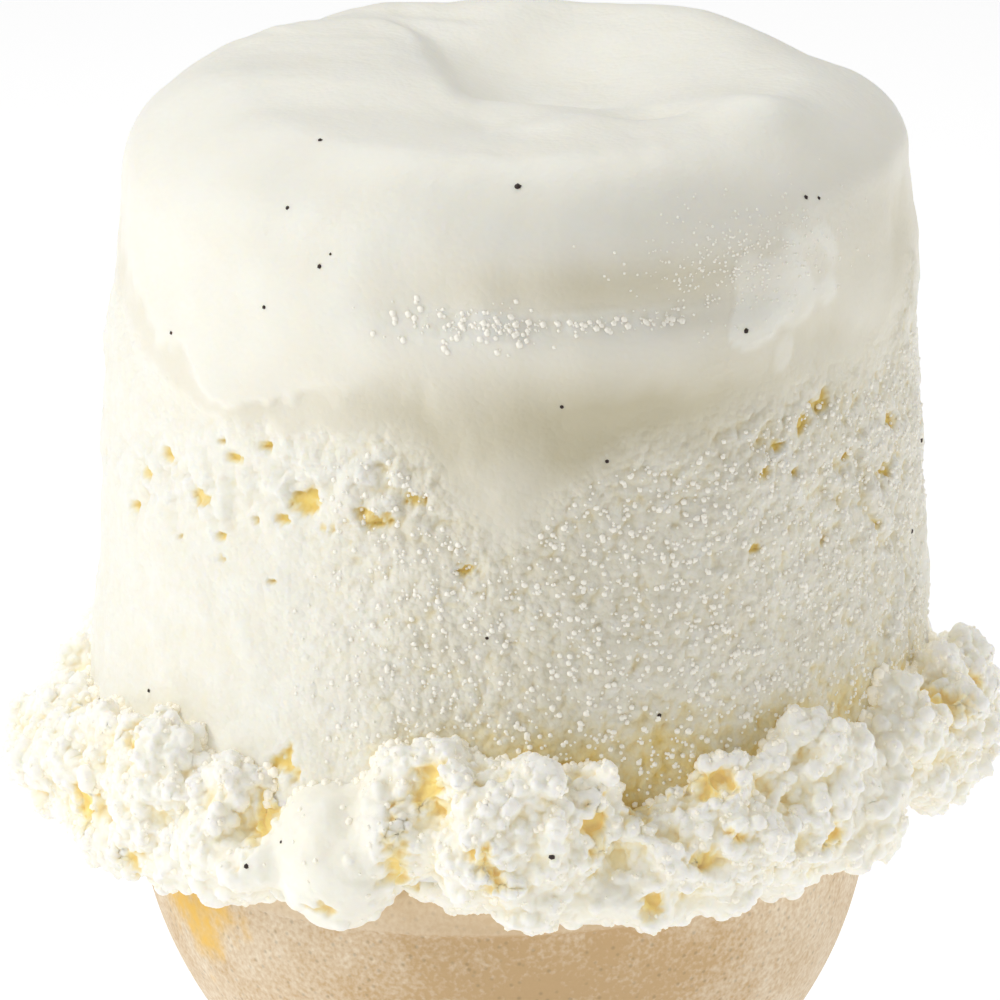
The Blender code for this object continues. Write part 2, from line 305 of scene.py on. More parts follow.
# Painted shadow: browner towards one spot on the front below the rim, where the skirt shades the wafer.
from_painted_shadow = distance_from(tree, place, PAINTED_SHADOW_PLACE)
painted_shadow = clamped(tree, maths("SUBTRACT", 1.0, maths("MULTIPLY", from_painted_shadow, 1.0 / PAINTED_SHADOW_RADIUS)))
brown = maths("MULTIPLY_ADD", painted_shadow, -0.30, maths("ADD", brown, 0.09))
colour = ramp(tree, brown, [(0.34, WAFER_BROWN), (0.70, WAFER_PALE)])
pores = ramp(tree, pore, [(0.08, 0.78), (0.26, 1.0)])
colour = mixed(tree, 1.0, colour, pores, "MULTIPLY")
position = add_node(tree, "ShaderNodeSeparateXYZ", Vector=place)
level = maths("MULTIPLY_ADD", position.outputs[0], -RIM_TILT, position.outputs[2])
on_lip = clamped(tree, maths("MULTIPLY", maths("SUBTRACT", level, LIP_Z), 1.0 / LIP_FADE))
colour = mixed(tree, maths("MULTIPLY", on_lip, 0.55), colour, linear(WAFER_LIP))
from_stain = distance_from(tree, place, STAIN_PLACE)
ragged = noise_of(tree, place, STAIN_RAGS_MM, 4.0, 0.6)
spread = maths("SUBTRACT", STAIN_RADIUS * 1.95, from_stain)
spread = maths("MULTIPLY_ADD", ragged, -STAIN_RADIUS * 1.9, spread)
stained = clamped(tree, maths("MULTIPLY", spread, 1.0 / STAIN_FADE))
mottle = noise_of(tree, place, STAIN_MOTTLE_MM, 3.0)
soaked = maths("MULTIPLY", stained, maths("MULTIPLY", mottle, 1.7))
colour = mixed(tree, soaked, colour, linear(WAFER_STAIN))
tree.links.new(colour, shader.inputs["Base Color"])
bump = add_node(tree, "ShaderNodeBump", Height=grain, Strength=0.5, Distance=GRAIN_BUMP)
tree.links.new(bump.outputs[0], shader.inputs["Normal"])
wafer_cup.data.materials.append(baked_wafer)
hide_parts("wafer_cone")
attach(wafer_cup, "root")

# Scoop
#
# Frozen cream full of ice grains, pushed out of a drum-shaped scoop, torn and pitted under its rim. Its top
# has begun to melt and has run down smooth over the grains. A grid is wrapped into it, with a plug below.
GAP = 0.3 * MM
TOP_Z = 127.2 * MM
SHOULDER_Z = 118.4 * MM
SHOULDER_INSET = 8.0 * MM
SHOULDER_RADIUS = 27.3 * MM
DRUM_FLARE = 0.0867
DRUM_LEAN = 0.0137
DRUM_LOW_Z = 79.0 * MM
DRUM_FINE_Z = 82.0 * MM
DRUM_COARSE_Z = 112.0 * MM
COLUMNS = 500
FRONT_SHARE = 0.6
DRUM_ROW = 0.29 * MM
CAP_ROW = 0.42 * MM
SHOULDER_STEPS = 30
FLAT_STEPS = 34
POLE_RADIUS = 0.2 * MM
WAVE_SIZE = 9.0 * MM
WAVE_HEIGHT = 0.45 * MM
FILM_PROUD = 0.26 * MM
LAYER_PROUD = 0.28 * MM
LAYER_RISE = 2.3 * MM
FILM_EDGE = (
    (-92, 112.8), (-73, 110.6), (-59, 108.5), (-48, 107.3), (-40, 107.5), (-27, 108.3), (-19, 108.4),
    (-13, 107.2), (-10, 105.2), (-6, 102.5), (-2, 101.0), (2, 102.2), (6, 104.6), (11, 106.6),
    (18, 107.6), (26, 107.6), (32, 108.9), (47, 109.9), (57, 109.5), (64, 110.2), (71, 112.2),
    (81, 115.6), (95, 113.8), (106, 109.0), (118, 105.3), (130, 108.0), (150, 111.3), (166, 108.0),
    (178, 103.8), (190, 107.5), (214, 107.3), (230, 109.5), (244, 111.8), (256, 111.5),
)
TORN_SPOTS = (
    (-66, 102.0, 10, 2.6), (-50, 102.5, 8, 2.4), (-38, 105.6, 10, 2.4), (-22, 105.5, 8, 3.4),
    (50, 109.4, 7, 1.6), (36, 107.6, 6, 1.6), (60, 102.0, 12, 4.5), (70, 94.0, 9, 5.0),
    (100, 100.0, 12, 5.0), (128, 104.0, 12, 3.0), (158, 106.0, 10, 3.0), (190, 101.0, 14, 4.0),
    (226, 104.0, 14, 3.4), (250, 103.0, 10, 4.0),
)
PITS = (
    (-57.7, 104.2, 0.45), (-63.3, 102.2, 0.45), (-49.6, 102.2, 0.7), (-67.1, 99.3, 0.3),
    (-53.9, 98.8, 0.22), (-45.0, 99.9, 0.3), (-44.7, 98.4, 0.3), (-43.1, 105.8, 0.4),
    (-37.2, 107.2, 0.45), (-45.5, 106.8, 0.25), (-30.7, 103.7, 0.8), (-34.4, 102.2, 0.35),
    (-20.3, 103.3, 0.8), (-14.2, 105.1, 0.45), (-26.6, 102.2, 0.4), (-39.3, 101.7, 0.3),
    (-35.6, 97.7, 0.2), (49.1, 109.2, 0.7), (44.6, 108.2, 0.6), (39.5, 107.0, 0.35), (37.0, 105.3, 0.35),
    (42.4, 104.8, 0.35), (64.3, 102.4, 0.5), (61.7, 98.6, 0.35), (48.9, 99.2, 0.3), (34.4, 100.1, 0.35),
    (54.5, 104.7, 0.3), (-6.8, 100.2, 0.4), (67.0, 105.5, 0.5), (84.0, 103.0, 0.5), (97.0, 98.0, 0.6),
    (104.0, 101.5, 0.4), (126.0, 104.5, 0.7), (133.0, 103.0, 0.4), (155.0, 106.0, 0.6),
    (163.0, 105.0, 0.4), (188.0, 101.5, 0.7), (196.0, 100.5, 0.45), (222.0, 104.5, 0.6),
    (231.0, 103.5, 0.5), (247.0, 103.0, 0.6), (256.0, 101.0, 0.35), (272.0, 103.5, 0.5),
    (280.0, 101.0, 0.4), (-31.2, 86.0, 0.45), (-32.0, 84.8, 0.7), (-33.2, 83.6, 0.7), (-10.6, 86.4, 0.5),
)
SWELLS = (
    (0.55, 10, 115.4, 32, 2.4), (-0.35, 12, 109.5, 26, 2.4), (0.9, 92, 114.5, 28, 5.0),
    (1.1, -90, 108, 28, 11), (0.4, 92, 102, 30, 8), (1.2, -88, 124, 35, 2.6), (1.8, 88, 124.4, 30, 2.2),
)
# Spots of painted shade on the cap: above the fold, round the smooth patch and on the right, and lower down
# on the front.
PAINTED_SHADE_SPOTS = ((0.2, 45, 117.5, 20, 8), (0.75, 14, 119.9, 22, 2.0), (0.35, 72, 119.0, 20, 6.0))
PAINTED_LOW_SHADE_SPOT = (10, 110.3, 26, 4.0)
HUMPS = (
    (1.5, 16, -10, 4.4, 3.8), (0.7, 15, 7, 6, 7), (1.0, -11, 17, 8, 5), (-0.3, -21, 6, 4, 8),
    (0.4, 14, 17, 6, 4), (-0.9, 9, -7, 3.4, 2.4), (-0.7, 2, -1, 3.4, 2.2), (-0.6, -2, -10, 4, 3.5),
    (0.5, 3, -12, 3.0, 2.0), (0.5, 6, -10, 2.4, 1.8), (0.9, 1, 20, 19, 4), (1.5, 25, 9, 3.5, 8),
    (-0.25, 19, 12, 3, 6),
)
FOLD_AZIMUTH = 10.0
FOLD_HALF_WIDTH = 27.0
FOLD_Z = 118.0 * MM
FOLD_TOP_Z = 123.6 * MM
FOLD_DEPTH = 0.8 * MM
FOLD_LEDGE = 1.9 * MM

NOISE_SEED = 4
CREAM_WHITE = "#FAF8F1"
CREAM_PLAIN = "#F5F1E2"
CREAM_SHADE = "#F5E8BE"
# Gold of the painted shade in hollows, pits and crevices.
CREAM_GOLD_SHADE = "#F6D97E"
# The darkening colour of thin film and of painted shade.
THIN_FILM_AND_SHADE = "#DDD8C6"
# Colour of the painted glow that the skirt's cream, the grains and the crumbs give off, as if lit from
# inside.
CREAM_PAINTED_GLOW = "#FFF6DC"
CREAM_IOR = 1.34
FROST_MM = 0.45
MOTTLE_MM = 1.1
PATCHES_MM = 4.0

noise.seed_set(NOISE_SEED)


def degrees_from(azimuth, middle):
    """Turn from middle to azimuth, the short way round."""
    return (azimuth - middle + 180.0) % 360.0 - 180.0


def azimuth_of(point):
    """0 at the front, -Y, and 90 on the right, +X."""
    return math.degrees(math.atan2(point.x, -point.y))


def at_azimuth(azimuth, radius, height):
    turn = math.radians(azimuth)
    return Vector((radius * math.sin(turn), -radius * math.cos(turn), height))


def drum_radius(height):
    return SHOULDER_RADIUS + DRUM_FLARE * (SHOULDER_Z - height)


def domes(point, size):
    """Rounded grains of that size packed side by side: 1 on their tops and 0 between them."""
    nearest = noise.voronoi(point / size, distance_metric="DISTANCE")[0][0]
    return math.sqrt(max(0.0, 1.0 - (nearest / 0.72) ** 2))


def read_points(mesh):
    points = np.empty(len(mesh.vertices) * 3)
    mesh.vertices.foreach_get("co", points)
    return points.reshape(-1, 3)


def write_points(mesh, points):
    mesh.vertices.foreach_set("co", points.reshape(-1))
    mesh.update()


def read_normals(mesh):
    normals = np.empty(len(mesh.vertices) * 3)
    mesh.vertices.foreach_get("normal", normals)
    return normals.reshape(-1, 3)


def averaged(mesh, values, rounds):
    """values averaged with those of each point's neighbours, that many times."""
    edges = np.empty(len(mesh.edges) * 2, dtype=np.int32)
    mesh.edges.foreach_get("vertices", edges)
    first, second = edges[0::2], edges[1::2]
    count = len(mesh.vertices)
    degree = np.bincount(first, minlength=count) + np.bincount(second, minlength=count)
    degree = np.maximum(degree, 1)
    for _ in range(rounds):
        columns = []
        for column in values.T:
            total = np.bincount(first, column[second], count) + np.bincount(second, column[first], count)
            columns.append(0.5 * column + 0.5 * total / degree)
        values = np.stack(columns, axis=1)
    return values


def store(obj, name, values):
    attribute = obj.data.attributes.new(name, "FLOAT", "POINT")
    attribute.data.foreach_set("value", np.asarray(values, dtype=np.float32))


def hollows(obj, rounds, depth):
    """How far each point lies below its surroundings: 1 at that depth, and -1 that far above them."""
    points = read_points(obj.data)
    below = ((averaged(obj.data, points, rounds) - points) * read_normals(obj.data)).sum(axis=1)
    return np.clip(below / depth, -1.0, 1.0)


def along(table, azimuth):
    """Height in metres from a table of (azimuth, millimetres) round the scoop, at any azimuth."""
    turn = (azimuth - table[0][0]) % 360.0
    places = [middle - table[0][0] for middle, _ in table] + [360.0]
    heights = [height for _, height in table] + [table[0][1]]
    return float(np.interp(turn, places, heights)) * MM


film_heights = [along(FILM_EDGE, 0.5 * step) for step in range(720)]


def film_edge(azimuth):
    """Height of the melted film's lower edge."""
    step = (azimuth % 360.0) * 2.0
    low = int(step)
    share = step - low
    return film_heights[low % 720] * (1.0 - share) + film_heights[(low + 1) % 720] * share


def torn(azimuth, height):
    """How torn the drum's side is there, from 0 to 1."""
    total = 0.0
    for middle, spot_z, half_width, half_height in TORN_SPOTS:
        across = degrees_from(azimuth, middle) / half_width
        up = (height / MM - spot_z) / half_height
        if abs(across) < 2.5 and abs(up) < 2.5:
            total += math.exp(-across * across - up * up)
    return min(1.0, total)


def granular(azimuth, height):
    """How coarse the grains stand out there, from 0 to 1."""
    front = smooth_step((azimuth + 40) / 36) * smooth_step((100 - azimuth) / 30)
    back = smooth_step((abs(azimuth) - 110) / 30)
    return 0.25 + 0.75 * front + 0.5 * back


def round_noise(azimuth, features, seed):
    """Noise that runs round the scoop and meets itself, with about that many features."""
    return noise.noise(at_azimuth(azimuth, features / 6.28, seed))


def fold(azimuth, height):
    """How far the fold across the cap's front draws its surface in."""
    across = degrees_from(azimuth, FOLD_AZIMUTH) / FOLD_HALF_WIDTH
    if abs(across) > 1.6:
        return 0.0
    uneven = 0.8 + 0.5 * round_noise(azimuth, 50, 3.0)
    line = FOLD_Z + 0.4 * MM * round_noise(azimuth, 72, 0.0)
    above = smooth_step((FOLD_TOP_Z - height) / (FOLD_TOP_Z - line))
    below = smooth_step((height - line + FOLD_LEDGE) / FOLD_LEDGE)
    return FOLD_DEPTH * uneven * math.exp(-(across**4)) * above * below


def bump_at(azimuth, height, middle, level, half_width, half_height):
    """1 at one spot of the side (azimuth in degrees, level in millimetres), falling off softly round it."""
    across = degrees_from(azimuth, middle) / half_width
    up = (height / MM - level) / half_height
    return math.exp(-across * across - up * up)


def pitted(azimuth, point):
    """How deep in one of the torn pits a place on the side is, from 0 to 1."""
    deepest = 0.0
    for middle, level, size in PITS:
        across = degrees_from(azimuth, middle) * 0.5
        up = point.z / MM - level
        if abs(across) < 3.0 and abs(up) < 3.0:
            ragged = 1.2 * noise.noise(point / (0.9 * MM)) + 0.6 * noise.noise(point / (0.4 * MM))
            deepest = max(deepest, smooth_step(1.5 - 0.8 * math.hypot(across, 1.5 * up) / size + ragged))
    return deepest


def side_relief(azimuth, point):
    """How far the scoop's side stands out there, how melted it is, how dark from thin film and painted
    shade, and how much painted golden shade it has.
    """
    height = point.z
    ragged = 0.9 * MM * noise.noise(point / (3.1 * MM)) + 0.5 * MM * noise.noise(point / (1.2 * MM))
    edge = film_edge(azimuth)
    crisp = math.exp(-((degrees_from(azimuth, -45) / 28) ** 4))
    melted = smooth_step((height - edge + ragged + 0.8 * MM * (1.0 - crisp)) / ((4.0 - 2.6 * crisp) * MM))
    rise = LAYER_RISE * (1.0 + 0.8 * round_noise(azimuth, 33, 5.0))
    layer = smooth_step((height - edge - rise + 1.4 * ragged) / ((5.0 - 3.9 * crisp) * MM))
    wave = WAVE_HEIGHT * noise.noise(point / WAVE_SIZE)
    patch = 1.5 * bump_at(azimuth, height, 42, 117.5, 14, 6.0) + 0.6 * noise.noise(point / (3.0 * MM))
    patch = smooth_step((patch - 0.9) / 0.12)
    smooth = 0.16 * MM * noise.noise(point / (3.5 * MM)) + 0.10 * MM * patch - fold(azimuth, height)
    beads = bump_at(azimuth, height, -6, 117.2, 9, 1.0) + bump_at(azimuth, height, 12, 117.6, 15, 0.45)
    beads = domes(point, 1.1 * MM) * smooth_step(1.6 * beads)
    swell = sum(rise_mm * bump_at(azimuth, height, *spot) for rise_mm, *spot in SWELLS)
    proud = FILM_PROUD * melted * (0.4 + 0.6 * crisp) + LAYER_PROUD * layer + melted * smooth
    proud += MM * (swell + 0.12 * beads)
    # Darker where the film is thin; the smooth patch and the beads are lighter as painted highlight; spots
    # of painted shade darken the cap.
    film_and_shade = 0.28 * (melted - layer) - 0.3 * patch - 0.3 * beads + 0.12 * noise.noise(point / (5.0 * MM))
    film_and_shade += sum(share * bump_at(azimuth, height, *spot) for share, *spot in PAINTED_SHADE_SPOTS)
    film_and_shade += melted * bump_at(azimuth, height, *PAINTED_LOW_SHADE_SPOT)
    if melted > 0.995:
        return wave + proud, melted, film_and_shade, 0.0
    tear = torn(azimuth, height) * smooth_step(0.7 + 1.6 * noise.noise(point / (3.2 * MM)))
    coarse = granular(azimuth, height)
    lumpy = 0.28 * MM * noise.noise(point / (2.6 * MM)) + 0.40 * MM * tear * (domes(point, 1.6 * MM) - 0.4)
    rough = 0.2 + 0.8 * coarse + tear
    grains = 0.20 * MM * (domes(point, 0.9 * MM) - 0.6) * rough
    grains += 0.14 * MM * noise.noise(point / (0.55 * MM)) * rough
    white = 0.6 * MM * bump_at(azimuth, height, -21, 105.2, 5.5, 2.0) * domes(point, 1.3 * MM)
    pit = pitted(azimuth, point)
    pits = 0.5 * MM * pit - white
    pits += 0.45 * MM * tear * smooth_step(2.0 * noise.noise(point / (1.7 * MM)) + 0.1)
    # Painted shade from the skirt over the drum: low down at the front and right, just above it.
    low = smooth_step((92.0 * MM - height) / (6.5 * MM)) * smooth_step((azimuth + 30) / 40)
    low *= smooth_step((95 - azimuth) / 40) * (1.0 + noise.noise(point / (3.0 * MM)))
    # Darker where the grain is coarse, at the front, right and back, and whiter on the left: partly the
    # grain's own tone, partly painted shade on the side turned from the left light.
    film_and_shade += (1.0 - melted) * (0.55 * coarse - 0.25 + 0.25 * noise.noise(point / (2.6 * MM)) * coarse)
    # Painted golden shade in the torn pits and low down by the skirt.
    gold_shade = (1.0 - melted) * (pit + 0.75 * low)
    return wave + proud + (1.0 - melted) * (lumpy + grains - pits), melted, film_and_shade, gold_shade


def top_relief(x, y):
    """Height of the top over its plain level: a soft hollow, the lobe and crease beside it, and humps."""
    warp = noise.noise_vector(Vector((x, y, 0.0)) / (7.0 * MM))
    x = x / MM + 1.6 * warp.x
    y = y / MM + 1.6 * warp.y
    hollow = math.exp(-(abs((x - 3.5) / 9.0) ** 3) - abs((y - 4.0) / 7.6) ** 3)
    lobe = smooth_step((-3.2 - 0.027 * y * abs(y) - x) / 3.4) * smooth_step((15.0 - y) / 4.0)
    lobe *= smooth_step((y + 9.0) / 9.0)
    relief = lobe - 2.0 * hollow
    for rise, middle_x, middle_y, half_x, half_y in HUMPS:
        relief += rise * math.exp(-(((x - middle_x) / half_x) ** 2) - ((y - middle_y) / half_y) ** 2)
    relief -= 0.5 * smooth_step((y - 14.0) / 2.4) * smooth_step((2.0 - x) / 8.0)
    rough = smooth_step((y - 2.0) / 8.0) * smooth_step((-x - 2.0) / 6.0)
    relief += (0.02 + 0.10 * rough) * noise.noise(Vector((x / 2.6, y / 1.5, 0.0)))
    return (relief + 0.05 * noise.noise(Vector((x / 1.8, y / 1.8, 4.0)))) * MM


def row_heights(top, bottom, spacing):
    steps = round((top - bottom) / spacing)
    return [top + (bottom - top) * step / steps for step in range(steps)]


scoop_rows = [(SHOULDER_RADIUS - SHOULDER_INSET, TOP_Z)]
for row in range(1, FLAT_STEPS + 1):
    flat_radius = scoop_rows[0][0] * (1.0 - row / FLAT_STEPS)
    scoop_rows.append((max(POLE_RADIUS, flat_radius), TOP_Z))
scoop_rows.reverse()
for row in range(1, SHOULDER_STEPS):
    angle = math.radians(90.0 - 90.0 * row / SHOULDER_STEPS)
    row_radius = SHOULDER_RADIUS - SHOULDER_INSET + SHOULDER_INSET * math.cos(angle)
    scoop_rows.append((row_radius, SHOULDER_Z + (TOP_Z - SHOULDER_Z) * math.sin(angle)))
side_heights = row_heights(SHOULDER_Z, DRUM_COARSE_Z, CAP_ROW)
side_heights += row_heights(DRUM_COARSE_Z, DRUM_FINE_Z, DRUM_ROW)
side_heights += [DRUM_FINE_Z, 80.5 * MM, DRUM_LOW_Z]
scoop_rows += [(drum_radius(row_z), row_z) for row_z in side_heights]
scoop_rows += [(29.5 * MM, 77.6 * MM), (27.6 * MM, 77.0 * MM), (25.2 * MM, 76.9 * MM)]
scoop_rows += bowl_arc(BOWL_ARC - WALL - GAP, math.radians(1), math.radians(42.5), 8)

deselect_all()
bpy.ops.mesh.primitive_grid_add(x_subdivisions=COLUMNS, y_subdivisions=len(scoop_rows) - 1, size=2.0)
scoop = bpy.context.object
melted_values = []
film_and_shade_values = []
gold_shade_values = []
for vertex in scoop.data.vertices:
    radius, row_z = scoop_rows[round((1.0 - vertex.co.y) / 2.0 * (len(scoop_rows) - 1))]
    turn = vertex.co.x
    azimuth = 180.0 * turn * (FRONT_SHARE + (1.0 - FRONT_SHARE) * turn * turn)
    point = at_azimuth(azimuth, radius, row_z)
    if point.z < DRUM_LOW_Z - 0.5 * MM:
        vertex.co = point
        melted_values.append(0.0)
        film_and_shade_values.append(0.0)
        gold_shade_values.append(0.0)
        continue
    lift = (point.z - SHOULDER_Z) / (TOP_Z - SHOULDER_Z)
    upright = math.sqrt(1.0 - smooth_step(lift) ** 2)
    proud, melted, film_and_shade, gold_shade = side_relief(azimuth, point)
    moved = point + at_azimuth(azimuth, proud * upright, 0.0)
    if lift > 0.35:
        level = smooth_step((lift - 0.35) / 0.6)
        moved.z += level * (top_relief(point.x, point.y) + WAVE_HEIGHT * noise.noise(point / WAVE_SIZE))
    moved.x += DRUM_LEAN * (point.z - BOWL_FLOOR_Z)
    vertex.co = moved
    melted_values.append(max(melted, 0.75 * (1.0 - granular(azimuth, point.z))))
    film_and_shade_values.append(film_and_shade * upright)
    gold_shade_values.append(gold_shade)
store(scoop, "melted", melted_values)
store(scoop, "film_and_shade", film_and_shade_values)
store(scoop, "gold_shade", gold_shade_values)
finish_mesh(scoop, "scoop")
bpy.ops.object.mode_set(mode="EDIT")
bpy.ops.mesh.select_all(action="SELECT")
bpy.ops.mesh.fill_holes(sides=0)
bpy.ops.mesh.normals_make_consistent(inside=False)
bpy.ops.object.mode_set(mode="OBJECT")


def cream_material(name, bump_mm, roughness, scatter_mm, glow_strength=0.0):
    """Frozen cream: light scatters inside it; its hollows, pits and crevices get a painted golden shade, and
    it has a faint painted glow where it has one.
    """
    material, tree, shader = new_material(name, roughness, CREAM_PAINTED_GLOW, glow_strength)
    maths = maths_in(tree)
    place = add_node(tree, "ShaderNodeTexCoord").outputs["Object"]
    hollow, gold_shade, film_and_shade, melted = [
        add_node(tree, "ShaderNodeAttribute", {"attribute_name": attribute}).outputs["Fac"]
        for attribute in ("hollow", "gold_shade", "film_and_shade", "melted")
    ]
    raw = maths("SUBTRACT", 1.0, melted)
    patches = noise_of(tree, place, PATCHES_MM, 2.0)
    mottle = noise_of(tree, place, MOTTLE_MM, 3.0)
    cells = {"feature": "SMOOTH_F1"}
    grain = add_node(
        tree, "ShaderNodeTexVoronoi", cells, Vector=place, Scale=1000 / FROST_MM, Smoothness=0.35
    ).outputs[0]
    # Painted shade: deeper hollows turn the cream creamier and then golden, and the painted golden shade of
    # pits and crevices is added on top.
    shade = maths("MULTIPLY_ADD", hollow, maths("MULTIPLY_ADD", raw, 0.28, 0.06), 0.22)
    shade = maths("MULTIPLY_ADD", gold_shade, 0.46, shade)
    shade = maths("MULTIPLY_ADD", maths("SUBTRACT", patches, 0.5), 0.16, shade)
    speckled = maths("MULTIPLY", maths("SUBTRACT", mottle, 0.5), 0.4)
    speckled = maths("ADD", speckled, maths("MULTIPLY", grain, 0.12))
    shade = maths("MULTIPLY_ADD", speckled, raw, shade)
    colour = ramp(
        tree, shade, [(0.05, CREAM_WHITE), (0.32, CREAM_PLAIN), (0.55, CREAM_SHADE), (0.85, CREAM_GOLD_SHADE)]
    )
    # Darkened towards the film colour where the film is thin and where shade is painted.
    colour = mixed(tree, clamped(tree, film_and_shade), colour, linear(THIN_FILM_AND_SHADE), "MULTIPLY")
    tree.links.new(colour, shader.inputs["Base Color"])
    shader.inputs["IOR"].default_value = CREAM_IOR
    shader.inputs["Subsurface Weight"].default_value = 0.7
    shader.inputs["Subsurface Radius"].default_value = (1.0, 0.9, 0.7)
    shader.inputs["Subsurface Scale"].default_value = scatter_mm * MM
    frost = maths("MULTIPLY_ADD", grain, -1.0, maths("MULTIPLY", mottle, 1.5))
    grain_height = maths("MULTIPLY", frost, maths("MULTIPLY_ADD", raw, 0.8, 0.2))
    bump = add_node(tree, "ShaderNodeBump", Height=grain_height, Strength=1.0, Distance=bump_mm * MM)
    tree.links.new(bump.outputs[0], shader.inputs["Normal"])
    return material


# Painted shade: how far each point lies in a hollow, which the cream's colour turns golden.
store(scoop, "hollow", 0.15 * hollows(scoop, 4, 0.12 * MM) + 0.9 * hollows(scoop, 40, 0.5 * MM))
scoop.data.materials.append(cream_material("frozen_cream", 0.14, 0.42, 0.5))
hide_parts("ice_cream")
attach(scoop, "root")

# Crumbly skirt
#
# Ice cream that was pressed out over the wafer's rim when the scoop was set down: a ring of torn lumps and
# crumbs, frozen hard outside, with painted golden shade in the hollows between them and one lump that has
# begun to melt.
LUMP_DEPTH = 4.8 * MM
LUMPS = (
    (-92, 79.0, 5.6, 3.0, 35.4, 1.0),
    (-78, 80.2, 5.4, 4.2, 35.9, 1.0),
    (-64, 80.8, 5.0, 5.0, 34.8, 0.9),
    (-51, 81.2, 5.2, 5.4, 34.6, 0.9),
    (-39, 80.4, 4.4, 5.0, 34.2, 0.9),
    (-39, 76.8, 4.6, 2.6, 32.0, 0.5),
    (-33, 78.8, 2.6, 1.5, 36.4, 0.1),
    (-22, 79.8, 5.2, 5.2, 35.4, 0.12),
    (-14, 82.4, 3.8, 4.2, 34.8, 0.5),
    (-10, 84.6, 2.2, 3.4, 33.6, 0.8),
    (0, 82.2, 5.4, 5.5, 35.8, 0.9),
    (10, 82.2, 3.8, 4.8, 34.4, 0.8),
    (12, 77.4, 5.4, 2.8, 33.6, 0.4),
    (21, 79.4, 5.0, 3.8, 34.6, 0.9),
    (31, 80.2, 5.0, 5.0, 34.8, 1.0),
    (41, 80.8, 5.0, 5.6, 35.2, 0.9),
    (50, 79.4, 4.6, 4.2, 35.0, 0.6),
    (62, 82.6, 2.2, 4.6, 34.6, 0.8),
    (70, 81.4, 5.2, 5.0, 35.4, 1.0),
    (84, 80.8, 5.8, 4.4, 35.6, 1.0),
    (-29, 76.2, 5.4, 1.9, 30.2, 0.45),
    (-6, 76.6, 5.0, 2.0, 30.0, 0.45),
    (28, 75.2, 6.0, 2.4, 30.2, 0.5),
    (46, 75.2, 6.0, 2.6, 30.2, 0.4),
    (64, 77.0, 5.4, 2.0, 29.8, 0.45),
)
CREVICES = (
    (-72, 84.7, 0.8, 0.7), (-62, 78.3, 0.8, 1.2), (-52, 85.2, 1.0, 0.8), (-51, 76.4, 0.7, 1.2),
    (-30, 84.4, 0.8, 1.9), (-32, 81.6, 0.8, 1.3), (-21.5, 76.8, 0.8, 0.4), (-9.5, 85.6, 1.0, 1.4),
    (-13, 80.6, 0.7, 2.6), (-2.5, 81.8, 0.6, 0.9), (-1.0, 79.6, 0.8, 0.5), (10.5, 83.0, 0.7, 2.0),
    (17, 83.6, 1.0, 0.8), (24, 85.0, 2.2, 0.9), (17.5, 76.9, 0.9, 0.7), (23, 80.2, 0.9, 0.6),
    (27, 81.6, 0.6, 0.6), (41, 79.6, 0.9, 0.7), (66, 85.3, 0.9, 1.3), (72, 81.6, 1.0, 1.1),
    (78, 84.5, 0.7, 0.8),
)
BACK_CREVICES = 17
BACK_LUMPS = 13
BACK_START = 96.0
BACK_END = 258.0
CRUMB_SEED = 7
SKIRT_VOXEL = 0.21 * MM

draw = random.Random(CRUMB_SEED)
all_lumps = list(LUMPS)
for number in range(BACK_LUMPS):
    all_lumps.append(
        (
            BACK_START + (BACK_END - BACK_START) * number / (BACK_LUMPS - 1) + draw.uniform(-2.5, 2.5),
            draw.uniform(77.6, 79.4),
            draw.uniform(5.4, 6.6),
            draw.uniform(4.0, 5.2),
            draw.uniform(33.6, 35.2),
            draw.uniform(0.6, 1.0),
        )
    )
all_crevices = list(CREVICES)
for number in range(BACK_CREVICES):
    all_crevices.append(
        (
            BACK_START + (BACK_END - BACK_START) * (number + draw.random()) / BACK_CREVICES,
            draw.uniform(77.0, 84.5),
            draw.uniform(0.5, 1.0),
            draw.uniform(0.5, 1.4),
        )
    )


def ball(centre, half_size, azimuth, detail=4):
    """An ice sphere stretched to half_size across, inwards and up, and turned to face outwards there."""
    deselect_all()
    bpy.ops.mesh.primitive_ico_sphere_add(subdivisions=detail, radius=1.0)
    obj = bpy.context.object
    obj.scale = half_size
    obj.rotation_euler = (0.0, 0.0, math.radians(azimuth))
    obj.location = centre
    return obj


def crumble(obj, roughness_at):
    """Breaks a smooth lump into torn crags and pits along its normals."""
    mesh = obj.data
    points, normals = read_points(mesh), read_normals(mesh)
    for i, (place, normal) in enumerate(zip(points, normals)):
        point = Vector(place)
        rough = roughness_at(point)
        bent = point + 1.1 * MM * noise.noise_vector(point / (1.9 * MM))
        crag = 1.3 * noise.noise(point / (4.6 * MM)) + 0.9 * noise.noise(point / (2.1 * MM))
        crag += 0.9 * (domes(bent, 2.8 * MM) - 0.6)
        crag += 0.5 * (domes(bent, 1.3 * MM) - 0.6)
        pit = 1.0 * smooth_step(3.2 * noise.noise(point / (2.3 * MM) + Vector((0, 9, 0))) - 1.1)
        points[i] = place + normal * (MM * rough * (crag - pit))
    write_points(mesh, points)


